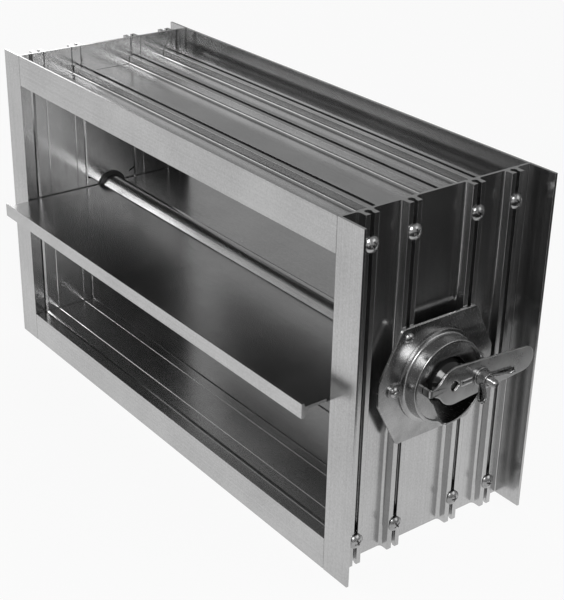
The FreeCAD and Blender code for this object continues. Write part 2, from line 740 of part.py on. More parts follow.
lever = new_body("lever")
disc = named("lever_disc")
end_radius = named("handle_end")
handle = named("handle")
lever_arm = named("lever_arm")
lever_reach = named("lever_reach")
lean = (disc - end_radius) / handle
rise = root(1 - lean * lean)
hollow = named("lever_arm_root")
far = disc + hollow
up = lever_arm + hollow
back = root(far * far - up * up)
touch = disc / far
centre = (0, 0)
handle_centre = (handle, 0)
lever_loop = [
    (-lever_reach, -lever_arm), (-back, -lever_arm, Bend((-back, -up), hollow, left=False)),
    (-(back * touch), -(up * touch), Bend(centre, disc)),
    (disc * lean, -(disc * rise)),
    (handle + end_radius * lean, -(end_radius * rise), Bend(handle_centre, end_radius)),
    (handle + end_radius * lean, end_radius * rise),
    (disc * lean, disc * rise, Bend(centre, disc)),
    (-(back * touch), up * touch, Bend((-back, up), hollow, left=False)),
    (-back, lever_arm), (-lever_reach, lever_arm),
]
lever_holes = [(0, 0, named("lever_hole")), (bolt_circle, 0, named("bolt") + named("bolt_fit"))]
pad(lever, "lever_blank", sketch(lever, "lever_outline", "YZ_Plane", [lever_loop], lever_holes),
    named("lever"))
leg_length = lever_back - plate_front - drum_face - named("slide_gap")
leg_inner = named("lever") - lever_reach
leg_loop = [
    (-lever_reach, -lever_arm), (leg_inner, -lever_arm), (leg_inner, lever_arm), (-lever_reach, lever_arm),
]
pad(lever, "lever_leg", sketch(lever, "lever_leg_outline", "YZ_Plane", [leg_loop]), leg_length,
    backwards=True)
rib = named("rib")
rib_loop = [
    (named("rib_start"), -rib), (named("rib_end"), -rib), (named("rib_end"), rib), (named("rib_start"), rib),
]
rib_sketch = sketch(lever, "lever_rib_outline", "YZ_Plane", [rib_loop], raised=named("lever"))
rib_pad = pad(lever, "lever_rib", rib_sketch, named("rib_rise"))


def crest_edges(feature, level, start, end, half):
    """Names of the long edges of the rib's crest."""
    found = []
    for index, edge in enumerate(feature.Shape.Edges, start=1):
        box = edge.BoundBox
        on_crest = abs(box.XMin - level) < tolerance and abs(box.XMax - level) < tolerance
        along = box.YMin > start - tolerance and box.YMax < end + tolerance
        if on_crest and along and box.ZMax < half + tolerance:
            found.append("Edge%d" % index)
    return found


rib_top = (named("lever") + named("rib_rise")).value
fillet(lever, "lever_rib_round", rib_pad,
       crest_edges(rib_pad, rib_top, named("rib_start").value, named("rib_end").value, rib.value),
       named("rib_round"))
place(lever, x=lever_back)

clamp_bolt = new_body("clamp_bolt")
bolt = named("bolt")
bolt_length = lever_front + named("bolt_stand") - hub_back - named("arm_up")
chamfer = named("bolt_chamfer")
bolt_profile = [
    (-named("bolt_head_thick"), 0), (-named("bolt_head_thick"), named("bolt_head") - chamfer),
    (chamfer - named("bolt_head_thick"), named("bolt_head")), (0, named("bolt_head")), (0, bolt),
    (bolt_length - chamfer, bolt), (bolt_length, bolt - chamfer), (bolt_length, 0),
]
revolve(clamp_bolt, "clamp_bolt_turning",
        sketch(clamp_bolt, "clamp_bolt_profile", "XY_Plane", [bolt_profile]))
place(clamp_bolt, x=hub_back + named("arm_up"), y=bolt_circle)

clamp_washer = new_body("clamp_washer")
pad(clamp_washer, "clamp_washer_blank",
    sketch(clamp_washer, "clamp_washer_circles", "YZ_Plane",
           circles=[(0, 0, named("clamp_washer")), (0, 0, bolt + named("bolt_fit"))]),
    named("clamp_washer_thick"))
place(clamp_washer, x=lever_front, y=bolt_circle)


# Wing nut: two rounded wings in one plane with the bolt's axis, on a tapered collar

wing_nut = new_body("wing_nut")
nut_foot = named("nut_foot")
wing_root = named("wing_root")
wing_round = named("wing_round")
tip_up = named("wing_tip_up")
tip_along = named("wing_tip")
lean_up = wing_round * sine(named("wing_lean"))
lean_along = wing_round * cosine(named("wing_lean"))
nut_height = named("nut_height")
wings = [
    (nut_foot, wing_root),
    (tip_up - lean_up, tip_along + lean_along, Bend((tip_up, tip_along), wing_round, left=False)),
    (tip_up + lean_up, tip_along - lean_along), (nut_height - nut_foot / 2, named("bolt")),
    (nut_height - nut_foot / 2, -named("bolt")),
    (tip_up + lean_up, lean_along - tip_along, Bend((tip_up, -tip_along), wing_round, left=False)),
    (tip_up - lean_up, -(tip_along + lean_along)), (nut_foot, -wing_root),
]
pad(wing_nut, "wing_plate", sketch(wing_nut, "wing_outline", "XY_Plane", [wings]), named("wing"),
    both_ways=True)
collar = named("nut_base")
collar_profile = [(0, 0), (0, collar), (nut_foot, collar), (nut_height, named("nut_top")), (nut_height, 0)]
revolve(wing_nut, "wing_collar", sketch(wing_nut, "wing_collar_profile", "XY_Plane", [collar_profile]))
pocket(wing_nut, "wing_bore",
       sketch(wing_nut, "wing_bore_circle", "YZ_Plane", circles=[(0, 0, bolt + named("bolt_fit"))]))
wing_turn = FreeCAD.Rotation(Vector(1, 0, 0), named("wing_turn").value)
place(wing_nut, x=washer_front, y=bolt_circle, rotation=wing_turn)


# Checks and export

templates = {"corner_screw", "plate_screw", "grub_screw", "drum_rivet"}
doc.recompute()
for item in doc.Objects:
    if "Invalid" in item.State or "Error" in item.State:
        raise RuntimeError("%s did not build" % item.Label)

os.makedirs("parts", exist_ok=True)
nodes = [item for item in doc.Objects
         if item.TypeId in ("PartDesign::Body", "Part::Feature") and item.Label not in templates]
for item in nodes:
    if item.Shape.isNull() or not item.Shape.isValid():
        raise RuntimeError("%s has no valid shape" % item.Label)
for item in nodes:
    item.Shape.exportStep("parts/%s.step" % item.Label)
    box = item.Shape.BoundBox
    print("%-22s solids %d volume %10.1f  x %8.2f %8.2f  y %8.2f %8.2f  z %8.2f %8.2f" % (
        item.Label, len(item.Shape.Solids), item.Shape.Volume,
        box.XMin, box.XMax, box.YMin, box.YMax, box.ZMin, box.ZMax))
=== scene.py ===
import math
import bpy
import numpy as np
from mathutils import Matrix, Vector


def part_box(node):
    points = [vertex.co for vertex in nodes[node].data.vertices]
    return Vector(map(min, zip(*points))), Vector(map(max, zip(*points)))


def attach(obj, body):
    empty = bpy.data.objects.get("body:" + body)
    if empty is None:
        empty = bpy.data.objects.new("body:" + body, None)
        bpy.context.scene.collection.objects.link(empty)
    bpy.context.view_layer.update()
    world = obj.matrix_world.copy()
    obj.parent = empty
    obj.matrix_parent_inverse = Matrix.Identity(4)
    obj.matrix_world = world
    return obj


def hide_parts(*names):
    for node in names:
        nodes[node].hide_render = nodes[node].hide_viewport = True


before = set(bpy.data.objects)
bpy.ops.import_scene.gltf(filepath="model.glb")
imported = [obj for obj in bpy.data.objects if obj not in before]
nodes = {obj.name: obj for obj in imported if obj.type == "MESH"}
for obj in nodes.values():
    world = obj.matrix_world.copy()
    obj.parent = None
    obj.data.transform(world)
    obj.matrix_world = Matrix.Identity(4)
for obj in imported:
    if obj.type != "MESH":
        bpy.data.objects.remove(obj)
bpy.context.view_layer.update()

print("frame loaded:", len(nodes), "nodes")


# Camera, floor and light

shot = {
    "place": (0.77032, -0.56008, 0.43603),
    "turn": (63.866, -1.1455, 52.843),  # degrees about X, Y, Z
    "lens": 80.36, "sensor": 36.0, "reach": 100,
}

studio = {
    "floorLevel": -0.1302, "floorReach": 20.0, "floorTone": 0.86,
    "floorWhite": 0.90,  # share of the floor's look that is plain white
    "roomTone": 0.38, "roomStrength": 1.0,
    "flagTone": 0.008, "flagLevel": -0.129, "flagDepth": 0.15,
    "deepFrom": 1.4, "deepTo": 1.6,  # reflections before the upright card shows
}

lamps = {
    "keyPanel": {"size": (0.9, 0.9), "power": 28.0, "place": (1.816, -1.05, 1.36)},
    "rearPanel": {"size": (0.85, 0.5), "power": 4.0, "place": (-2.30, 0.70, 0.69)},
    "fillPanel": {"size": (1.4, 0.9), "power": 5.0, "place": (-2.2, -1.35, 1.05)},
    "rimPanel": {"size": (1.0, 0.8), "power": 4.0, "place": (1.75, 1.05, 0.85)},
}

# Black cards that only show in the metal: two flat on the floor, by their x and y, beside and behind the damper, the
# one behind a painted shadow of it, and one upright behind it, by its x and z, that only shows in second and later
# reflections, as painted shade deep inside the damper.
flags = {
    "besideFlag": [(0.385, -0.60), (3.0, -0.60), (3.0, 3.4), (0.385, 3.4)],
    # painted shadow: this card behind the damper stands in for the damper's shadow on the floor
    "floorShadowFlag": [(-0.12, 0.13), (0.16, 0.15), (0.27, 0.36), (-0.05, 0.36)],
    # painted shade: this upright card darkens only the deeper reflections inside the damper
    "insideFlag": [(-0.25, -0.12), (0.16, -0.12), (0.16, 0.085), (0.03, 0.135), (-0.25, 0.135)],
}


def aimAtMiddle(thing):
    across, ahead, up = thing.location
    thing.rotation_euler = (math.atan2(math.hypot(across, ahead), up), 0, math.atan2(across, -ahead))


def addCamera():
    lens = bpy.data.cameras.new("camera")
    lens.lens = shot["lens"]
    lens.sensor_width = shot["sensor"]
    lens.clip_end = shot["reach"]
    camera = bpy.data.objects.new("camera", lens)
    camera.location = shot["place"]
    camera.rotation_euler = [math.radians(angle) for angle in shot["turn"]]
    bpy.context.scene.collection.objects.link(camera)
    bpy.context.scene.camera = camera


def addPanel(name, size, power, place):
    light = bpy.data.lights.new(name, "AREA")
    light.shape = "RECTANGLE"
    light.size, light.size_y = size
    light.energy = power
    lamp = bpy.data.objects.new(name, light)
    lamp.location = place
    aimAtMiddle(lamp)
    bpy.context.scene.collection.objects.link(lamp)


# Materials: a small class lets a socket stand in a sum

class Wire:
    def __init__(self, finish, socket):
        self.finish = finish
        self.socket = socket

    def __add__(self, other):
        return self.finish.maths("ADD", self, other)

    def __radd__(self, other):
        return self.finish.maths("ADD", other, self)

    def __mul__(self, other):
        return self.finish.maths("MULTIPLY", self, other)


class Finish:
    def __init__(self, name, **constants):
        self.material = bpy.data.materials.new(name)
        self.material.use_nodes = True
        self.tree = self.material.node_tree
        self.shader = self.tree.nodes["Principled BSDF"]
        self.surface = self.tree.nodes["Material Output"].inputs["Surface"]
        for socketName, value in constants.items():
            self.shader.inputs[socketName.replace("_", " ")].default_value = value

    # The one way to make a node: its type, its settings, then what its sockets get, by name or by number.
    def node(self, kind, settings=None, sockets=None, output=None):
        made = self.tree.nodes.new(kind)
        for name, value in (settings or {}).items():
            setattr(made, name, value)
        for name, value in (sockets or {}).items():
            named = [s for s in made.inputs if s.name == name and s.enabled]
            self.feed(named[0] if named else made.inputs[name], value)
        return Wire(self, [s for s in made.outputs if s.enabled and output in (None, s.name)][0])

    def feed(self, socket, value):
        if isinstance(value, Wire):
            self.tree.links.new(value.socket, socket)
        else:
            socket.default_value = value

    def maths(self, operation, first, second):
        return self.node("ShaderNodeMath", {"operation": operation}, {0: first, 1: second})

    # Noise between 0 and 1. Its scale is in repeats to the metre along each axis, its detail in finer layers.
    def grain(self, scale, detail, roughness=0.55, turn=(0, 0, 0)):
        spot = self.node("ShaderNodeTexCoord", output="Object")
        spread = tuple(np.broadcast_to(scale, 3).astype(float))
        spread = self.node("ShaderNodeMapping", {}, {"Vector": spot, "Scale": spread, "Rotation": turn})
        return self.node("ShaderNodeTexNoise", {"noise_dimensions": "3D"},
                         {"Vector": spread, "Scale": 1.0, "Detail": detail, "Roughness": roughness})

    def ramp(self, value, low, high):
        return self.node("ShaderNodeMapRange", {"clamp": True}, {"Value": value, "From Min": low, "From Max": high})

    def blend(self, share, first, second):
        return self.node("ShaderNodeMix", {"data_type": "RGBA"}, {"Factor": share, "A": first, "B": second})

    def wear(self, colour, roughness, height, depth, strength):
        bump = self.node("ShaderNodeBump", {}, {"Height": height, "Distance": depth, "Strength": strength})
        self.feed(self.shader.inputs["Base Color"], colour)
        self.feed(self.shader.inputs["Roughness"], roughness)
        self.feed(self.shader.inputs["Normal"], bump)
        return self.material

    # Goes from the first shader to the second by a share.
    def fade(self, share, first, second):
        self.feed(self.surface, self.node("ShaderNodeMixShader", {}, {0: share, 1: first, 2: second}))
        return self.material


def grey(tone):
    return (tone, tone, tone, 1)


# Grains are in repeats to the metre; for the die lines and rub marks, along the extrusion and across it.
mill = {
    "lines": (3, 900), "hairs": (9, 4200), "rubs": (30, 160), "clouds": 14, "specks": 700,
    "rubRange": (0.64, 0.80), "rubRoughness": 0.7, "rubTone": 0.8, "rubShare": 0.2,
    "toneRange": (0.35, 0.65), "toneShares": (0.45, 0.2, 0.35),   # of clouds, lines, specks
    "roughShares": (0.08, 0.06, 0.06),                            # of clouds, hairs, rubs
    "bumpShares": (0.7, 0.2), "depth": 0.00002, "strength": 0.10,  # of lines, hairs
}
zinc = {
    "clouds": 60, "spangle": 700, "scratches": (400, 2600, 500), "scratchTurn": (0.5, 0.3, 0.8),
    "scratchRange": (0.62, 0.70), "scratchRoughness": 0.5, "scratchTone": 1.1, "scratchShare": 0.2,
    "toneRange": (0.35, 0.65),
    "roughShares": (0.10, 0.08, 0.08),                            # of clouds, spangle, scratches
    "bumpShares": (0.6, 0.4), "depth": 0.00002, "strength": 0.12,  # of spangle, scratches
}
nylon = {"grains": 2500, "clouds": 90, "dark": 0.006, "light": 0.016, "roughShare": 0.10, "depth": 0.00003}
oxide = {
    "metallic": 0.7, "grains": 1800, "dark": 0.035, "light": 0.07, "rough": 0.35, "roughShare": 0.15,
    "depth": 0.00002, "strength": 0.2,
}


# Mill aluminium: die lines run along the extrusion, with soft clouds and a few rub marks.
def millAluminium(name, axis, dark, light, rough):
    finish = Finish(name, Metallic=1.0)
    lines, hairs, rubs = [(along, across, across) if axis == "x" else (across, across, along)
                          for along, across in (mill["lines"], mill["hairs"], mill["rubs"])]
    line = finish.grain(lines, detail=2.0)
    hair = finish.grain(hairs, detail=1.0)
    cloud = finish.grain(mill["clouds"], detail=4.0)
    rub = finish.grain(rubs, detail=5.0, roughness=mill["rubRoughness"])
    rub = finish.ramp(rub, *mill["rubRange"])
    speck = finish.grain(mill["specks"], detail=3.0)
    cloudShare, lineShare, speckShare = mill["toneShares"]
    tone = finish.ramp(cloud * cloudShare + line * lineShare + speck * speckShare, *mill["toneRange"])
    colour = finish.blend(tone, grey(dark), grey(light))
    colour = finish.blend(rub * mill["rubShare"], colour, grey(dark * mill["rubTone"]))
    cloudShare, hairShare, rubShare = mill["roughShares"]
    roughness = rough + cloud * cloudShare + hair * hairShare + rub * rubShare
    lineShare, hairShare = mill["bumpShares"]
    return finish.wear(colour, roughness, line * lineShare + hair * hairShare, mill["depth"], mill["strength"])


# Zinc plate: slightly cloudy, with a fine scratched grain.
def zincPlate(name, dark, light, rough):
    finish = Finish(name, Metallic=1.0)
    cloud = finish.grain(zinc["clouds"], detail=4.0)
    spangle = finish.grain(zinc["spangle"], detail=3.0)
    scratch = finish.grain(zinc["scratches"], detail=2.0, roughness=zinc["scratchRoughness"],
                           turn=zinc["scratchTurn"])
    scratch = finish.ramp(scratch, *zinc["scratchRange"])
    colour = finish.blend(finish.ramp(cloud, *zinc["toneRange"]), grey(dark), grey(light))
    colour = finish.blend(scratch * zinc["scratchShare"], colour, grey(light * zinc["scratchTone"]))
    cloudShare, spangleShare, scratchShare = zinc["roughShares"]
    roughness = rough + cloud * cloudShare + spangle * spangleShare + scratch * scratchShare
    spangleShare, scratchShare = zinc["bumpShares"]
    height = spangle * spangleShare + scratch * scratchShare
    return finish.wear(colour, roughness, height, zinc["depth"], zinc["strength"])


def blackNylon(name, rough, strength):
    finish = Finish(name, Metallic=0.0)
    grains = finish.grain(nylon["grains"], detail=2.0)
    cloud = finish.grain(nylon["clouds"], detail=3.0)
    colour = finish.blend(cloud, grey(nylon["dark"]), grey(nylon["light"]))
    return finish.wear(colour, rough + grains * nylon["roughShare"], grains, nylon["depth"], strength)


def blackOxide(name):
    finish = Finish(name, Metallic=oxide["metallic"])
    grains = finish.grain(oxide["grains"], detail=2.0)
    colour = finish.blend(grains, grey(oxide["dark"]), grey(oxide["light"]))
    roughness = oxide["rough"] + grains * oxide["roughShare"]
    return finish.wear(colour, roughness, grains, oxide["depth"], oxide["strength"])


def floorMaterial():
    finish = Finish("studioFloor", Roughness=1.0, Base_Color=grey(studio["floorTone"]), Specular_IOR_Level=0.0)
    camera, glossy, transmission = [finish.node("ShaderNodeLightPath", output="Is %s Ray" % kind)
                                    for kind in ("Camera", "Glossy", "Transmission")]
    share = finish.ramp(camera + glossy + transmission, 0.0, 1.0) * studio["floorWhite"]
    white = finish.node("ShaderNodeEmission", {}, {"Color": grey(1), "Strength": 1.0})
    return finish.fade(share, Wire(finish, finish.shader.outputs[0]), white)


# A black card; the deep one, painted shade inside the damper, is left out of all but second and later reflections.
def flagMaterial(name, deep):
    finish = Finish(name, Roughness=1.0, Base_Color=grey(studio["flagTone"]))
    if not deep:
        return finish.material
    bounces = finish.node("ShaderNodeLightPath", output="Glossy Depth")
    bounces = bounces + finish.node("ShaderNodeLightPath", output="Is Shadow Ray")
    share = finish.ramp(bounces, studio["deepFrom"], studio["deepTo"])
    return finish.fade(share, finish.node("ShaderNodeBsdfTransparent"), Wire(finish, finish.shader.outputs[0]))


def addSheet(name, corners, material):
    mesh = bpy.data.meshes.new(name)
    mesh.from_pydata(corners, [], [tuple(range(len(corners)))])
    mesh.materials.append(material)
    thing = bpy.data.objects.new(name, mesh)
    bpy.context.scene.collection.objects.link(thing)
    return thing


def addStudio():
    reach, level = studio["floorReach"], studio["floorLevel"]
    addSheet("studioFloor", [(x * reach, y * reach, level) for x, y in ((-1, -1), (1, -1), (1, 1), (-1, 1))],
             floorMaterial())
    for name, corners in flags.items():
        upright = name == "insideFlag"
        points = [(x, studio["flagDepth"], other) if upright else (x, other, studio["flagLevel"])
                  for x, other in corners]
        card = addSheet(name, points, flagMaterial(name, upright))
        card.visible_camera = False
        card.visible_diffuse = False
        card.visible_shadow = upright
    for name, lamp in lamps.items():
        addPanel(name, **lamp)
    world = bpy.data.worlds.new("room")
    world.use_nodes = True
    world.node_tree.nodes["Background"].inputs["Color"].default_value = grey(studio["roomTone"])
    world.node_tree.nodes["Background"].inputs["Strength"].default_value = studio["roomStrength"]
    bpy.context.scene.world = world
    bpy.context.scene.view_settings.view_transform = "Standard"


addCamera()
addStudio()
print("camera, floor and light ready")

# Each metal's darkest and lightest tone and its roughness; the extrusions also have the axis of their die lines.
aluminiumLooks = {
    "topAluminium": {"axis": "x", "dark": 0.37, "light": 0.51, "rough": 0.15},
    "sideAluminium": {"axis": "z", "dark": 0.37, "light": 0.51, "rough": 0.15},
    "bladeAluminium": {"axis": "x", "dark": 0.39, "light": 0.54, "rough": 0.16},
}
zincLooks = {
    "shaftSteel": {"dark": 0.45, "light": 0.60, "rough": 0.25},
    "zincPlate": {"dark": 0.26, "light": 0.38, "rough": 0.14},
    "zincLever": {"dark": 0.30, "light": 0.40, "rough": 0.20},
    "screwZinc": {"dark": 0.26, "light": 0.42, "rough": 0.14},
    "nutZinc": {"dark": 0.22, "light": 0.34, "rough": 0.16},
}
nylonLooks = {
    "blackNylon": {"rough": 0.36, "strength": 0.25},
    "hubNylon": {"rough": 0.10, "strength": 0.06},
}

finishes = {"blackOxide": blackOxide("blackOxide")}
for makeFinish, looks in ((millAluminium, aluminiumLooks), (zincPlate, zincLooks), (blackNylon, nylonLooks)):
    for name, look in looks.items():
        finishes[name] = makeFinish(name, **look)
print("materials ready:", len(finishes))


# Shapes. Sizes are in millimetres and addPiece turns them into metres.

millimetre = 0.001
weldDigits = 4       # decimals of a millimetre to which points are joined
centreReach = 1      # a side whose middle is nearer to the section's centre line lies on it
rowsPerTurn = 6      # rows of points to a turn of a thread
ringShares = (0, 0.3, 1.0)  # rings of points from a hole to the edge of its patch

# Limits that keep divisions away from nought, and distances that count as none
least = {"length": 1e-12, "radius": 1e-4, "cosine": 0.99999, "gap": 1e-3, "level": 0.01, "lean": 1e-6}


def boxOf(name):
    low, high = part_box(name)
    return np.array(low) / millimetre, np.array(high) / millimetre


def unit(vectors):
    return vectors / np.maximum(np.linalg.norm(vectors, axis=-1, keepdims=True), least["length"])


# Points on a circle round a centre, from one angle in degrees to another.
def arc(centre, radius, first, last, count):
    angle = np.radians(np.linspace(first, last, count))
    return np.stack([centre[0] + radius * np.cos(angle), centre[1] + radius * np.sin(angle)], axis=-1)


# A corner turns into an arc that touches both its sides: its centre lies on the bisector, radius / sin(half angle)
# away. Corners are the last but one axis, so a whole row of loops can be rounded at once.
def roundCorners(points, radius, steps):
    radius = np.maximum(np.broadcast_to(radius, points.shape[:-1]), least["radius"])[..., None]
    before = unit(np.roll(points, 1, axis=-2) - points)
    after = unit(np.roll(points, -1, axis=-2) - points)
    cosine = (before * after).sum(axis=-1, keepdims=True)
    half = np.arccos(np.clip(cosine, -least["cosine"], least["cosine"])) / 2
    centre = points + unit(before + after) * radius / np.sin(half)
    first = points + before * radius / np.tan(half) - centre
    last = points + after * radius / np.tan(half) - centre
    turn = (np.pi - 2 * half)[..., None, :]
    share = np.linspace(0, 1, steps + 1)[:, None]
    blend = np.sin((1 - share) * turn) * first[..., None, :] + np.sin(share * turn) * last[..., None, :]
    arcs = centre[..., None, :] + blend / np.sin(turn)
    return arcs.reshape(points.shape[:-2] + (-1, 2))


# A loop from corners (across, up, radius); runs of ready points have no radius of their own.
def loopOf(*parts, steps=4):
    table = np.concatenate([np.atleast_2d(part) if np.shape(part)[-1] == 3
                            else np.column_stack([part, np.zeros(len(part))]) for part in parts])
    loop = roundCorners(table[:, :2], table[:, 2], steps)
    return loop[np.linalg.norm(loop - np.roll(loop, 1, axis=0), axis=1) > least["gap"]]


# A ring's section from corners (along, out) and their radii.
def ringLoop(corners, radii):
    return loopOf(np.column_stack([corners, radii]), steps=3)


# Normals of a loop in its plane: the sides' normals, weighted by their lengths, so that flats stay flat.
def loopNormals(loop):
    side = np.roll(loop, -1, axis=0) - loop
    normal = np.stack([side[:, 1], -side[:, 0]], axis=-1)
    normal = unit(normal + np.roll(normal, 1, axis=0))
    area = (loop[:, 0] * np.roll(loop[:, 1], -1) - np.roll(loop[:, 0], -1) * loop[:, 1]).sum()
    return normal * np.sign(area)


# Quads between neighbouring rows and columns of a grid of points, joined round where it closes.
def gridSkin(points, closedColumns=True, closedRows=False):
    rows, columns = points.shape[:2]
    index = np.arange(rows * columns).reshape(rows, columns)
    if closedColumns:
        index = np.concatenate([index, index[:, :1]], axis=1)
    if closedRows:
        index = np.concatenate([index, index[:1]], axis=0)
    quads = np.stack([index[:-1, :-1], index[:-1, 1:], index[1:, 1:], index[1:, :-1]], axis=-1)
    return points.reshape(-1, 3), quads.reshape(-1, 4)


def capSkin(loop, turned=False):
    order = np.arange(len(loop))
    return loop, (order[::-1] if turned else order)[None]


# Each face's area along its normal: half the sum of the cross products of its neighbouring corners.
def areaVectors(points, faces):
    corners = points[faces]
    return np.cross(corners, np.roll(corners, -1, axis=1)).sum(axis=1) / 2


# One closed shell: its faces are turned outwards where the volume inside comes out negative.
def shell(*skins):
    volume = sum((points[faces].mean(axis=1) * areaVectors(points, faces)).sum() for points, faces in skins)
    if volume < 0:
        skins = [(points, faces[:, ::-1]) for points, faces in skins]
    return list(skins)


# Makes a piece of shells. Corner normals are the area-weighted sum of a skin's faces round a point, so wide flats
# stay flat and narrow roundings carry the bend; points that coincide are joined, and quads at a pole are triangles.
def addPiece(name, shells, finish, body, replaced):
    points, faces, normals, count = [], [], [], 0
    for skinPoints, skinFaces in [skin for part in shells for skin in part]:
        around = np.zeros((len(skinPoints), 3))
        vectors = areaVectors(skinPoints, skinFaces)
        np.add.at(around, skinFaces.ravel(), np.repeat(vectors, skinFaces.shape[1], axis=0))
        points.append(skinPoints)
        faces.append(skinFaces + count)
        normals.append(unit(around))
        count += len(skinPoints)
    normals = np.concatenate(normals)
    joined, same = np.unique(np.round(np.concatenate(points), weldDigits), axis=0, return_inverse=True)
    polygons, corners = [], []
    for group in faces:
        welded = same.reshape(-1)[group]
        double = welded == np.roll(welded, -1, axis=1)
        for repeats in (0, 1):
            kept = double.sum(axis=1) == repeats
            width = group.shape[1] - repeats
            polygons += welded[kept][~double[kept]].reshape(-1, width).tolist()
            corners.append(normals[group[kept][~double[kept]]])
    mesh = bpy.data.meshes.new(name)
    mesh.from_pydata((joined * millimetre).tolist(), [], polygons)
    mesh.materials.append(finishes[finish])
    mesh.shade_smooth()
    mesh.normals_split_custom_set(np.concatenate(corners).tolist())
    piece = bpy.data.objects.new(name, mesh)
    bpy.context.scene.collection.objects.link(piece)
    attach(piece, body)
    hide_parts(replaced)


# Puts skins drawn in their own axes in their place: origin + first * a + second * b + third * c.
def placed(skins, origin, axes):
    return [(np.array(origin) + points @ np.array(axes, float), faces) for points, faces in skins]


# A straight extrusion of a loop from one end to the other, in axes (across, up, along), with a small bevel at both
# ends. Sides that lie across the section's centre line may be left out for a flat with a hole.
def extrusion(loop, ends, openMiddle=False, edge=0.0):
    inner = loop - edge * loopNormals(loop)
    sections = [(inner, ends[0]), (loop, ends[0] + edge), (loop, ends[1] - edge), (inner, ends[1])]
    rows = np.stack([np.column_stack([part, np.full(len(part), place)]) for part, place in
                     (sections if edge else sections[1:3])])
    points, faces = gridSkin(rows)
    if openMiddle:
        middle = (loop + np.roll(loop, -1, axis=0)) / 2
        faces = faces[np.tile(np.abs(middle[:, 0]) > centreReach, len(rows) - 1)]
    return [(points, faces), capSkin(rows[0], turned=True), capSkin(rows[-1])]


# A flat strip with a round hole: rings that go from the circle out to a rectangle, and a quad on each side.
def holedFlat(halfAcross, halfPatch, hole, ends, level, count=48):
    corner = math.atan2(halfPatch, halfAcross)
    angle = np.unique(np.concatenate([np.linspace(0, 2 * np.pi, count, endpoint=False),
                                      [corner, np.pi - corner, np.pi + corner, 2 * np.pi - corner]]))
    heading = np.stack([np.cos(angle), np.sin(angle)], axis=-1)
    reach = 1 / np.maximum(np.abs(heading[:, 0]) / halfAcross, np.abs(heading[:, 1]) / halfPatch)
    share = np.array(ringShares)[:, None, None]
    rings = heading * (hole + share * (reach[:, None] - hole))
    rings = np.insert(rings, 1, level, axis=-1)
    strips = [np.array([[(-halfAcross, level, low), (halfAcross, level, low)],
                        [(-halfAcross, level, high), (halfAcross, level, high)]], float)
              for low, high in ((ends[0], -halfPatch), (halfPatch, ends[1]))]
    return [gridSkin(rings)] + [gridSkin(strip, closedColumns=False) for strip in strips]


# The rim of a pressing: from its front face round the edge to its back face. A quarter turn at each face has
# inset edge * (1 - sin a) and drop edge * (1 - cos a). Points come as (height, across, up).
def rimRows(loop, back, front, edge, side=1, steps=3):
    turn = np.linspace(0, np.pi / 2, steps + 1)
    inset = edge * (1 - np.sin(turn))
    drop = edge * (1 - np.cos(turn))
    insets = np.concatenate([inset, inset[::-1]])[:, None, None]
    heights = np.concatenate([front - drop, (back + drop)[::-1]])[:, None, None]
    flat = loop - insets * loopNormals(loop) * side
    return np.concatenate([np.broadcast_to(heights, flat.shape[:2] + (1,)), flat], axis=-1)


# A flat pressing with a rounded rim, whole or with one hole whose loop has a point for each of the outline's.
def pressing(loop, back, front, edge, hole=None):
    rim = rimRows(loop, back, front, edge)
    if hole is None:
        return shell(gridSkin(rim), capSkin(rim[0], turned=True), capSkin(rim[-1]))
    inner = rimRows(hole, back, front, edge, side=-1)[::-1]
    return shell(gridSkin(np.concatenate([rim, inner]), closedRows=True))


# The points of a profile of (along, out) carried round an axis.
def spun(profile, count):
    angle = np.linspace(0, 2 * np.pi, count, endpoint=False)
    along, out = np.repeat(profile[:, :1], count, axis=1), profile[:, 1:]
    return np.stack([along, out * np.cos(angle), out * np.sin(angle)], axis=-1)


# Closed profiles make rings, open ones end at poles.
def turned(profile, closed=True, count=72):
    return gridSkin(spun(profile, count), closedRows=closed)


# A thread: out = crest - depth * |2 * fraction(along / pitch - angle / turn) - 1|, tapered to the tip where asked.
def threaded(first, last, crest, depth, pitch, taper=0.0, tip=0.0, count=32):
    along = np.arange(first, last, pitch / rowsPerTurn)[:, None]
    angle = np.linspace(0, 2 * np.pi, count, endpoint=False)
    ridge = np.abs(2 * np.mod(along / pitch - angle / (2 * np.pi), 1) - 1)
    out = crest - depth * ridge
    if taper:
        out = np.where(along < first + taper, tip + (out - tip) * (along - first) / taper, out)
    return np.stack([along + 0 * angle, out * np.cos(angle), out * np.sin(angle)], axis=-1)


acrossY, upZ, alongX = (0, 1, 0), (0, 0, 1), (1, 0, 0)


# Frame: one channel section for all four sides

channel = {
    "halfDepth": 82.5, "flange": 25, "wall": 2, "edge": 0.3, "flangeRoot": 0.8,
    "ports": (62.4, 27.4), "portCentre": 4.9, "portBore": 2.5, "portTop": 9.3, "portHalf": 5.5,
    "portSlit": 1.6, "portRoot": 2.5, "portEdge": 0.6, "slitEdge": 0.2,
    "fineLines": ((24.5, 2, 0.4), (33.5, 1, 0.4), (59.5, 1, 0.4), (71.5, 3.6, 0.6)),  # place, width, depth
    "lineEdge": 0.08, "joint": 0.35, "endEdge": 0.3,
    "bushHole": 9.03, "bushPatch": 13,
}


# A fine line on the inner side: a shallow groove in the shape of a V.
def vLine(place, width, depth):
    edge = channel["lineEdge"]
    return [(place - width / 2, 0, edge), (place, depth, edge), (place + width / 2, 0, edge)]


# A screw port from its right foot to its left: root, side, top, slit, bore and back.
def portCorners(line):
    half, top, root = channel["portHalf"], channel["portTop"], channel["portRoot"]
    slit, edge, bore = channel["portSlit"], channel["slitEdge"], channel["portBore"]
    mouth = math.degrees(math.acos(slit / bore))
    right = [(line + half, channel["wall"], root), (line + half, top, channel["portEdge"]), (line + slit, top, edge)]
    left = [(line - slit, top, edge), (line - half, top, channel["portEdge"]), (line - half, channel["wall"], root)]
    return [right, arc((line, channel["portCentre"]), bore, mouth, -180 - mouth, count=16), left]


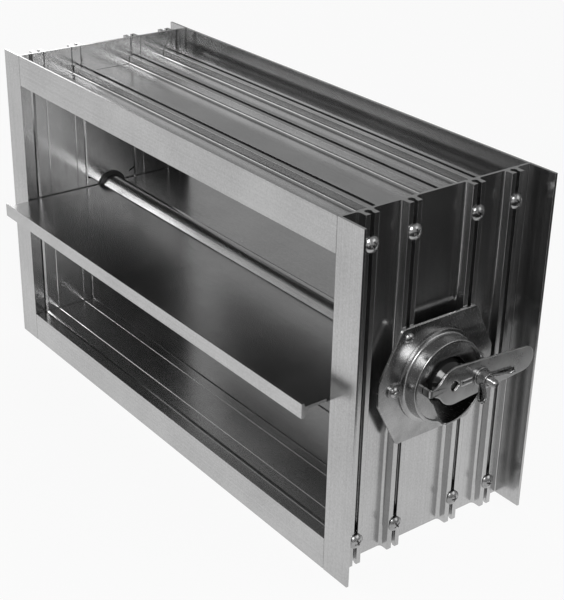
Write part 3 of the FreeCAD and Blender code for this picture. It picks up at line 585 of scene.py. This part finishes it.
def channelLoop():
    deep, flange, wall, edge = channel["halfDepth"], channel["flange"], channel["wall"], channel["edge"]
    root = channel["flangeRoot"]
    lines = [vLine(side * place, width, depth) for side in (-1, 1) for place, width, depth in channel["fineLines"]]
    inner = sum(sorted(lines), [])
    back = [(deep, 0, edge), (deep, flange, edge), (deep - wall, flange, edge), (deep - wall, wall, root)]
    front = [(wall - deep, wall, root), (wall - deep, flange, edge), (-deep, flange, edge), (-deep, 0, edge)]
    ports = [part for line in sorted([side * port for side in (-1, 1) for port in channel["ports"]], reverse=True)
             for part in portCorners(line)]
    return loopOf(inner, back, *ports, front)


def addFrame():
    loop = channelLoop()
    for name, outward, along, finish in (("top", (0, 0, 1), (1, 0, 0), "topAluminium"),
                                         ("bottom", (0, 0, -1), (1, 0, 0), "topAluminium"),
                                         ("left_side", (-1, 0, 0), (0, 0, 1), "sideAluminium"),
                                         ("right_side", (1, 0, 0), (0, 0, 1), "sideAluminium")):
        node = name + "_profile"
        low, high = boxOf(node)
        axis, outAxis = int(np.argmax(np.abs(along))), int(np.argmax(np.abs(outward)))
        level = min(abs(low[outAxis]), abs(high[outAxis]))
        side = "side" in name
        gap = 0 if side else channel["joint"]
        skins = extrusion(loop, (low[axis] + gap, high[axis] - gap), side, 0 if side else channel["endEdge"])
        if side:
            across, ends = loop[:, 0], (low[axis], high[axis])
            flats = np.abs(across[np.abs(across + np.roll(across, -1)) < least["level"]])
            patch, hole = channel["bushPatch"], channel["bushHole"]
            skins += holedFlat(flats.max(), patch, hole, ends, 0)
            skins += [(points, faces[:, ::-1]) for points, faces in
                      holedFlat(flats.min(), patch, hole, ends, channel["wall"])]
        skins = placed(skins, np.array(outward) * level, (acrossY, outward, along))
        addPiece(name + "_channel", [shell(*skins)], finish, "frame", node)
    print("frame channels made,", len(loop), "points in the section")


# Blade: one extrusion with a tube and two lips

bladeSizes = {
    "edge": 104, "lip": 2.4, "lipRise": 6.2, "lipDrop": 4.7, "lipFoot": 6, "top": 3.6, "under": 1.4,
    "tube": 10.2, "root": 1.5, "round": 0.35, "inner": 0.8,
}


def bladeLoop():
    size = bladeSizes
    edge, lip, foot = size["edge"], size["edge"] - size["lip"], size["edge"] - size["lipFoot"]
    rise, drop, top, under, tube = size["lipRise"], size["lipDrop"], size["top"], size["under"], size["tube"]
    soft, inner, root = size["round"], size["inner"], size["root"]
    belly = math.degrees(math.asin(under / tube))
    flank = tube * math.sqrt(2) - top  # where a side at 45 degrees that touches the tube meets the blade's top
    return loopOf(
        [(-edge, -drop, soft), (-lip, -drop, soft), (-foot, under, inner)],
        arc((0, 0), tube, 180 - belly, 360 + belly, count=30),
        [(foot, under, inner), (lip, -drop, soft), (edge, -drop, soft), (edge, rise, soft),
         (lip, rise, soft), (lip, top, inner), (flank, top, root)],
        arc((0, 0), tube, 45, 135, count=12),
        [(-flank, top, root), (-lip, top, inner), (-lip, rise, soft), (-edge, rise, soft)])


def addBlade():
    low, high = boxOf("blade")
    skins = placed(extrusion(bladeLoop(), (low[0], high[0])), (0, 0, 0), (acrossY, upZ, alongX))
    addPiece("blade_extrusion", [shell(*skins)], "bladeAluminium", "blade", "blade")
    print("blade made")


# Screws: a pan head with a cross recess and a threaded shank

cornerScrew = {
    "head": 5.5, "rim": 1.0, "height": 3.4, "span": 5.6, "slot": 1.2, "deep": 1.8,
    "shank": 2.45, "length": 31, "point": 4, "tip": 0.6, "thread": 0.35, "pitch": 1.8,
    "turnByScrew": 0.9, "turnByCorner": 0.4,
}
plateScrew = {
    "head": 3.8, "rim": 0.7, "height": 2.4, "span": 3.8, "slot": 1.0, "deep": 1.3,
    "shank": 2.0, "length": 9, "point": 2, "tip": 0.4, "thread": 0.3, "pitch": 1.2,
    "turnFirst": 0.5,
}

# What the screws share. Columns over the recess arm are shares of its half angle, with the share of its depth they
# go down to. The first row is a share of the slot, the others are distances from the recess's end and from the rim.
screwForm = {
    "armColumns": (-1, -0.82, 0, 0.82), "armDepths": (0, 1, 1, 1), "landColumns": 8,
    "recessRows": 6, "landRows": 9, "firstRow": 0.72, "beforeEnd": (0.35, 0.2, 0.1), "pastEnd": 0.2,
    "beforeRim": (0.25, 0.08), "outerDepth": 0.5, "rimEdge": 0.15, "footEdge": 0.2, "neck": 0.8,
    "sunk": 0.3, "pointed": 0.2,
}


# The head's grid: in each quarter some columns follow the recess arm, whose half angle at radius r is
# arcsin(slot / 2 / r), and the rest share the land. Height is a ball's cap less the recess, shallower outwards.
def screwHead(size, turn):
    form, land = screwForm, screwForm["landColumns"]
    arm = np.concatenate([form["armColumns"], np.ones(land)])
    floor = np.concatenate([form["armDepths"], np.zeros(land)])
    share = np.concatenate([np.zeros(len(form["armColumns"])), np.arange(land) / land])
    reach, dome, slot, far = size["head"], size["height"] - size["rim"], size["slot"], size["span"] / 2
    recessEnd, wallFoot, wallTop = form["beforeEnd"]
    landEnd, rimStart = form["beforeRim"]
    radius = np.concatenate([[0.0], np.linspace(slot * form["firstRow"], far - recessEnd, form["recessRows"]),
                             [far - wallFoot, far],
                             np.linspace(far + form["pastEnd"], reach - landEnd, form["landRows"]),
                             [reach - rimStart, reach]])[:, None]
    lean = np.arcsin(np.minimum(slot / 2 / np.maximum(radius, least["gap"]), math.sin(math.pi / 4)))
    quarter = arm * lean + share * (np.pi / 2 - 2 * lean)
    angle = np.concatenate([quarter + step * np.pi / 2 for step in range(4)], axis=1) + turn
    ball = (reach ** 2 + dome ** 2) / (2 * dome)
    cap = size["height"] - ball + np.sqrt(ball ** 2 - np.minimum(radius, reach) ** 2)
    deep = size["deep"] * (1 - form["outerDepth"] * radius / far) * (radius < far - wallTop)
    height = cap - np.tile(floor, 4) * deep
    under = [(size["rim"] - form["rimEdge"], reach), (form["footEdge"], reach), (0.0, reach - form["footEdge"]),
             (0.0, size["shank"] * form["neck"])]
    heights = np.concatenate([height] + [np.full((1, angle.shape[1]), along) for along, out in under])
    outs = np.concatenate([radius] + [np.full((1, 1), out) for along, out in under])
    angles = np.concatenate([angle] + [angle[-1:]] * len(under))
    return np.stack([heights, outs * np.cos(angles), outs * np.sin(angles)], axis=-1)


def screwShells(size, turn):
    head = screwHead(size, turn)
    shank = threaded(-size["length"], screwForm["sunk"], size["shank"], size["thread"], size["pitch"],
                     size["point"], size["tip"])
    tip = np.repeat([[[-size["length"] - screwForm["pointed"], 0, 0]]], shank.shape[1], axis=1)
    return [shell(gridSkin(head), capSkin(head[-1])),
            shell(gridSkin(np.concatenate([tip, shank])), capSkin(shank[-1]))]


def addCornerScrews():
    size = cornerScrew
    seat = boxOf("lock_plate")[0][0]
    level = boxOf("top_profile")[0][2] + channel["portCentre"]
    lines = [side * port for port in channel["ports"] for side in (-1, 1)]
    for index, (side, end) in enumerate([(1, "top"), (1, "bottom"), (-1, "top"), (-1, "bottom")]):
        node = "%s_%s_screws" % ("right" if side > 0 else "left", end)
        shells = []
        for number, line in enumerate(lines):
            origin = (side * seat, line, level if end == "top" else -level)
            turn = size["turnByScrew"] * number + size["turnByCorner"] * index
            shells += [placed(part, origin, ((side, 0, 0), (0, side, 0), upZ)) for part in screwShells(size, turn)]
        addPiece(node + "_pan_heads", shells, "screwZinc", "frame", node)
    print("corner screws made")


# Lock plate: eight-sided, with two screws

boltCircle = 23.5  # from the blade's axis to the clamp bolt's
lockPlate = {"side": (51, 8), "end": (33, 43), "corner": 4, "hole": 7, "edge": 0.45, "screwUp": 35.7}


def addLockPlate():
    low, high = boxOf("lock_plate")
    (wide, wideUp), (narrow, narrowUp) = lockPlate["side"], lockPlate["end"]
    corners = [(wide, -wideUp), (wide, wideUp), (narrow, narrowUp), (-narrow, narrowUp),
               (-wide, wideUp), (-wide, -wideUp), (-narrow, -narrowUp), (narrow, -narrowUp)]
    loop = loopOf([(across, up, lockPlate["corner"]) for across, up in corners], steps=6)
    skins = pressing(loop, low[0], high[0], lockPlate["edge"], unit(loop) * lockPlate["hole"])
    addPiece("lock_plate_pressing", [skins], "zincPlate", "frame", "lock_plate")
    spots = [(side * channel["ports"][1], -side * lockPlate["screwUp"]) for side in (-1, 1)]
    shells = [placed(part, (high[0], across, up), (alongX, acrossY, upZ)) for number, (across, up) in
              enumerate(spots) for part in screwShells(plateScrew, plateScrew["turnFirst"] + number)]
    addPiece("lock_plate_pan_heads", shells, "screwZinc", "frame", "lock_plate_screws")
    print("lock plate and its screws made")


# Drum: a pressed cup with two ears, a round opening and a window, along which the wall stands up as a guide

drum = {
    "foot": 34, "radius": 30.4, "gauge": 1.5, "height": 12.1, "bend": 2, "rimRound": 1.0, "rimWidth": 2.4,
    "faceDrop": 1.4, "opening": 17.8, "rimGap": 1, "ear": 5, "earReach": 38.8, "earTurn": 10, "edge": 0.3,
    "windowStart": 8.83, "windowEnd": -98.83, "windowLead": -156, "leastChord": 0.05,
    "guideRound": 2.5, "guideEdge": 0.5, "guideEndTurn": 0.09,
    "columns": 140, "earColumns": 60, "guideColumns": 60, "guideEarColumns": 40, "guideEndColumns": 10,
}


# The foot's outline by angle: a circle, and at the ears the sides and round end of a tab.
def footRadius(angle):
    lean, ahead = np.abs(np.sin(angle)), np.abs(np.cos(angle))
    side = drum["ear"] / np.maximum(lean, least["lean"])
    end = drum["earReach"] * ahead + np.sqrt(np.maximum(drum["ear"] ** 2 - (drum["earReach"] * lean) ** 2, 0))
    return np.maximum(drum["foot"], np.where(side * ahead <= drum["earReach"], side, end))


# Carries sections round the drum's axis; each column has its own section, so sizes may change with the angle.
def drumPart(angle, corners, radii):
    section = roundCorners(np.stack([np.stack(np.broadcast_arrays(along, out, angle)[:2], axis=-1)
                                     for along, out in corners], axis=1), np.array(radii, float), steps=3)
    along, out = section[..., 0].T, section[..., 1].T
    rows = np.stack([along, out * np.cos(angle), out * np.sin(angle)], axis=-1)
    walls = gridSkin(rows, closedColumns=False, closedRows=True)
    return shell(walls, capSkin(rows[:, 0]), capSkin(rows[:, -1], turned=True))


def addDrum():
    start, end, lead, ear = [math.radians(drum[key]) for key in ("windowStart", "windowEnd", "windowLead", "earTurn")]
    gauge, outer, height, edge = drum["gauge"], drum["radius"], drum["height"], drum["edge"]
    inside, rimInner, face = outer - gauge, outer - drum["rimWidth"], height - drum["faceDrop"]
    whole = np.unique(np.concatenate([np.linspace(start, end + 2 * np.pi, drum["columns"]),
                                      np.linspace(np.pi - ear, np.pi + ear, drum["earColumns"])]))
    # the window's front edge: the straight line between a point on the opening and one on the wall
    first = (drum["opening"] - gauge) * np.array([math.cos(lead), math.sin(lead)])
    last = inside * np.array([math.cos(end), math.sin(end)])
    across = unit(np.array([last[1] - first[1], first[0] - last[0]]))
    facing = np.abs(np.cos(whole) * across[0] + np.sin(whole) * across[1])
    chord = np.abs(first @ across) / np.maximum(facing, drum["leastChord"])
    opening = np.where(whole > lead + 2 * np.pi, np.maximum(drum["opening"], chord), drum["opening"])
    opening = np.minimum(opening, rimInner - drum["rimGap"])
    foot = footRadius(whole)
    shells = [drumPart(whole, [(0, foot), (gauge, foot), (gauge, outer), (height, outer), (height, rimInner),
                               (face, rimInner), (face, opening), (face - gauge, opening), (face - gauge, inside),
                               (0, inside)],
                       [edge, edge, drum["bend"], drum["rimRound"], edge, edge, edge, edge, edge, edge])]
    # the guide's top falls off at both ends of the window in a quarter turn
    low, high = boxOf("lock_drum")
    guide, curve, near = high[0] - low[0], drum["guideRound"], drum["guideEndTurn"]
    window = np.unique(np.concatenate([
        np.linspace(end, start, drum["guideColumns"]), np.linspace(-ear, start, drum["guideEarColumns"]),
        np.linspace(end, end + near, drum["guideEndColumns"]),
        np.linspace(start - near, start, drum["guideEndColumns"])]))
    step = np.minimum(np.minimum(window - end, start - window) * outer, curve)
    top = guide - curve + np.sqrt(curve ** 2 - (curve - step) ** 2)
    foot = footRadius(window)
    shells.append(drumPart(window, [(0, foot), (gauge, foot), (gauge, outer), (top, outer), (top, inside),
                                    (0, inside)],
                           [edge, edge, drum["bend"], drum["guideEdge"], drum["guideEdge"], edge]))
    shells = [placed(part, (low[0], 0, 0), (alongX, acrossY, upZ)) for part in shells]
    addPiece("lock_drum_pressing", shells, "zincPlate", "frame", "lock_drum")
    print("lock drum made")


# Blind rivets: a low dome with the hole that its pin leaves. Profile points are (along, out, radius).

rivet = {
    "dome": [(-2.0, 1.9, 0.1), (0.0, 3.6, 0.3), (0.5, 3.6, 0.3), (1.4, 2.2, 0.8), (1.7, 1.3, 0.2)],
    "foot": [(-2.0, 0)], "hole": [(0.5, 1.1), (0.5, 0)], "columns": 40,
}


def addRivets():
    seat = boxOf("lock_drum")[0][0] + drum["gauge"]
    dome = loopOf(rivet["dome"], steps=3)
    # the rows between the first and the last two run from the top down, which leaves two walls that cross inside the
    # dome and a slit of 0.13 mm round its tip
    order = [0, *range(len(dome) - 3, 0, -1), -2, -1]
    profile = np.concatenate([rivet["foot"], dome[order], rivet["hole"]])
    part = shell(turned(profile, closed=False, count=rivet["columns"]))
    rivets = [placed(part, (seat, side * drum["earReach"], 0), (alongX, acrossY, upZ)) for side in (-1, 1)]
    addPiece("drum_blind_rivets", rivets, "screwZinc", "frame", "drum_rivets")
    print("drum rivets made")


# Hub: a moulded cone inside the drum, with the arm that carries the clamp bolt

hub = {
    "foot": 17, "band": 3.5, "waist": (10.5, 14.2), "top": 9.6, "height": 15.8, "bore": 5.08, "edge": 0.5,
    "topEdge": 1.2, "armUp": 5, "arm": 3, "armHalf": 5, "armEdge": 0.4, "armSunk": 2,
}


def addHub():
    back = boxOf("lock_hub")[0][0]
    height, bore, foot, edge, topEdge = hub["height"], hub["bore"], hub["foot"], hub["edge"], hub["topEdge"]
    ring = loopOf([(0, bore, edge), (0, foot, edge), (hub["band"], foot, edge), (*hub["waist"], topEdge),
                   (height, hub["top"], topEdge), (height, bore, edge)], steps=5)
    half, root = hub["armHalf"], hub["top"] - hub["armSunk"]
    outline = np.concatenate([arc((boltCircle, 0), half, -90, 90, count=24), [(root, half), (root, -half)]])
    arm = pressing(outline, hub["armUp"], hub["armUp"] + hub["arm"], hub["armEdge"])
    axes = (alongX, acrossY, upZ)
    shells = [placed(shell(turned(ring, count=96)), (back, 0, 0), axes), placed(arm, (back, 0, 0), axes)]
    addPiece("lock_hub_moulded", shells, "hubNylon", "blade", "lock_hub")
    print("hub made")


# Lever: a flat pressing with a leg bent onto the drum, and a ridge under the wing nut

leverSizes = {
    "disc": 14, "handle": 64.6, "handleEnd": 9.4, "arm": 2.6, "armRoot": 12, "reach": 22.4, "hole": 3.8,
    "thick": 1.8, "edge": 0.6, "bendOuter": 2.2, "bendInner": 0.5, "tipEdge": 0.25,
    "overlap": 0.4, "overlapEdge": 0.05, "proud": 0.02,
    "ridge": (5.2, 15.8, 2.5, 1.35),   # from, to, half width, rise
    "ridgePowers": (2.4, 6), "ridgeSunk": (0.1, 0.2), "ridgeGrid": (40, 25),
}


# The lever's outline: arm, round middle and tapered handle with a round end, each touching the next.
def leverLoop():
    size = leverSizes
    disc, end, handle, arm, root = size["disc"], size["handleEnd"], size["handle"], size["arm"], size["armRoot"]
    lean = math.degrees(math.acos((disc - end) / handle))
    level = arm + root
    back = math.sqrt((disc + root) ** 2 - level ** 2)
    touch = math.degrees(math.atan2(level, back))
    tip = size["bendOuter"] - size["reach"]
    half = np.concatenate([
        arc((handle, 0), end, 0, lean, count=14), arc((0, 0), disc, lean, 180 - touch, count=24),
        arc((-back, level), root, -touch, -90, count=10), [(tip, arm)]])
    mirrored = half[1:][::-1] * (1, -1)
    return np.concatenate([half, mirrored])


# The ridge's rise is rise * (1 - |v|^a)^(1/a) across and (1 - |u|^b)^(1/2) along, with a and b its two powers.
def leverRidge(front):
    start, stop, half, rise = leverSizes["ridge"]
    rows, columns = leverSizes["ridgeGrid"]
    acrossPower, alongPower = leverSizes["ridgePowers"]
    brink, sole = [front - depth for depth in leverSizes["ridgeSunk"]]
    u = np.sin(np.linspace(-1, 1, rows) * np.pi / 2)[:, None]
    v = np.sin(np.linspace(-1, 1, columns) * np.pi / 2)
    bump = rise * (1 - np.abs(v) ** acrossPower) ** (1 / acrossPower) * np.sqrt(1 - np.abs(u) ** alongPower)
    top = np.stack([brink + bump, (start + stop) / 2 + u * (stop - start) / 2 + 0 * v, half * v + 0 * u], axis=-1)
    border = np.concatenate([top[:, 0], top[-1, 1:], top[-2::-1, -1], top[0, -2:0:-1]])
    sunk = border.copy()
    sunk[:, 0] = sole
    return shell(gridSkin(top, closedColumns=False), gridSkin(np.stack([sunk, border])), capSkin(sunk))


def addLever():
    size = leverSizes
    foot, back = boxOf("lever")[0][0], boxOf("lock_hub")[1][0]
    front = back + size["thick"]
    loop = leverLoop()
    blank = pressing(loop, back, front, size["edge"], unit(loop) * size["hole"])
    arm, tip = size["arm"] + size["proud"], -size["reach"]
    inner, root = tip + size["thick"], tip + size["bendOuter"] + size["overlap"]
    over, under = front + size["proud"], back - size["proud"]
    fold = loopOf([(root, over, size["overlapEdge"]), (tip, over, size["bendOuter"]), (tip, foot, size["tipEdge"]),
                   (inner, foot, size["tipEdge"]), (inner, under, size["bendInner"]),
                   (root, under, size["overlapEdge"])], steps=6)
    leg = shell(*placed(extrusion(fold, (-arm, arm)), (0, 0, 0), (acrossY, alongX, upZ)))
    addPiece("lever_pressing", [blank, leg, leverRidge(front)], "zincLever", "blade", "lever")
    print("lever made")


# Clamp bolt: a thin head and a thread. The end's points are (back from the end, out).

clampBolt = {
    "shank": 3.0, "thread": 0.42, "pitch": 1.0, "head": 4.8, "headThick": 3.4, "headCore": 0.5,
    "headEdges": (0.1, 0.7, 0.3, 0.1), "end": ((0.8, 2.75), (0.1, 2.2), (0, 2.05), (0.15, 0.6), (0.15, 0)),
    "columns": 40,
}


def addClampBolt():
    size = clampBolt
    low, high = boxOf("clamp_bolt")
    seat, out, core = low[0] + size["headThick"], size["head"], size["headCore"]
    head = ringLoop([(low[0], core), (low[0], out), (seat, out), (seat, core)], size["headEdges"])
    end = np.array(size["end"]) * (-1, 1) + (high[0], 0)
    thread = threaded(seat, end[0, 0], size["shank"], size["thread"], size["pitch"], count=size["columns"])
    shank = shell(gridSkin(np.concatenate([thread, spun(end, size["columns"])])), capSkin(thread[0]))
    shells = [placed(part, (0, boltCircle, 0), (alongX, acrossY, upZ)) for part in (shell(turned(head)), shank)]
    addPiece("clamp_bolt_threaded", shells, "screwZinc", "blade", "clamp_bolt")
    print("clamp bolt made")


# Clamp washer

clampWasher = {"bore": 3.06, "out": 7.0, "edges": (0.15, 0.3, 0.4, 0.3)}


def addClampWasher():
    bore, out = clampWasher["bore"], clampWasher["out"]
    low, high = boxOf("clamp_washer")
    ring = ringLoop([(low[0], bore), (low[0], out), (high[0], out), (high[0], bore)], clampWasher["edges"])
    shells = [placed(shell(turned(ring)), (0, boltCircle, 0), (alongX, acrossY, upZ))]
    addPiece("clamp_washer_rounded", shells, "screwZinc", "clamp_washer", "clamp_washer")
    print("clamp washer made")


# Wing nut: a collar and two rounded wings

wingNut = {
    "bore": 3.06, "collar": 6.2, "collarTop": 5.0, "collarFoot": 1.2, "height": 6.5,
    "collarEdges": (0.3, 0.3, 0.4, 0.7, 0.5),
    "wing": 2.4, "wingRoot": 4.5, "wingTip": (12.2, 13.4), "wingHalf": 4.0, "wingLean": 46, "wingInner": (5.9, 3.7),
    "wingEdge": 1.1, "wingCorner": 0.5, "wingRound": 3.9, "wingTurn": 30,
}


def addWingNut():
    size = wingNut
    origin = (boxOf("wing_nut")[0][0], boltCircle, 0)
    bore, foot, height = size["bore"], size["collarFoot"], size["height"]
    ring = ringLoop([(0, bore), (0, size["collar"]), (foot, size["collar"]), (height, size["collarTop"]),
                     (height, bore)], size["collarEdges"])
    lean, turn = math.radians(size["wingLean"]), math.radians(size["wingTurn"])
    tip, half, corner, soft = np.array(size["wingTip"]), size["wingHalf"], size["wingCorner"], size["wingRound"]
    ahead = np.array([math.cos(lean), math.sin(lean)]) * half
    beside = np.array([math.sin(lean), -math.cos(lean)]) * half
    outline = loopOf([(foot, size["wingRoot"], corner), (*(tip - beside + ahead), soft),
                      (*(tip + beside + ahead), soft), (*size["wingInner"], corner)], steps=8)
    wing = pressing(outline, -size["wing"] / 2, size["wing"] / 2, size["wingEdge"])
    wingAxes = [((0, -math.sin(turn), math.cos(turn)), alongX, (0, side * math.cos(turn), side * math.sin(turn)))
                for side in (-1, 1)]
    shells = [placed(shell(turned(ring)), origin, (alongX, acrossY, upZ))]
    shells += [shell(*placed(wing, origin, axes)) for axes in wingAxes]
    addPiece("wing_nut_cast", shells, "nutZinc", "wing_nut", "wing_nut")
    print("wing nut made")


# Bushes: a flanged ring on each side

bush = {
    "flange": 1.5, "rim": 13.6, "barrel": 9, "tail": 5, "bore": 5.08, "edges": (0.3, 0.3, 0.5, 0.1, 0.1, 0.5),
}


def addBushes():
    level = boxOf("right_side_profile")[0][0]
    front, tail, bore, barrel, rim = -bush["flange"], bush["tail"], bush["bore"], bush["barrel"], bush["rim"]
    section = ringLoop([(front, bore), (tail, bore), (tail, barrel), (0, barrel), (0, rim), (front, rim)],
                       bush["edges"])
    for name, side in (("left_bush", -1), ("right_bush", 1)):
        ring = placed([turned(section, count=96)], (side * level, 0, 0), ((side, 0, 0), acrossY, upZ))
        addPiece(name + "_moulded", [shell(*ring)], "blackNylon", "frame", name)
    print("bushes made")


addFrame()
addBlade()
addCornerScrews()
addLockPlate()
addDrum()
addRivets()
addHub()
addLever()
addClampBolt()
addClampWasher()
addWingNut()
addBushes()

# The frame's own nodes that stay as they are
wears = {
    "shaftSteel": ["drive_shaft", "idle_shaft", "idle_shaft_washer", "idle_shaft_snap_ring"],
    "blackOxide": ["blade_grub_screws", "hub_set_screw"],
}

for finishName, nodeNames in wears.items():
    for nodeName in nodeNames:
        for materialSlot in nodes[nodeName].material_slots:
            materialSlot.material = finishes[finishName]
print("finishes given to the frame's own nodes")
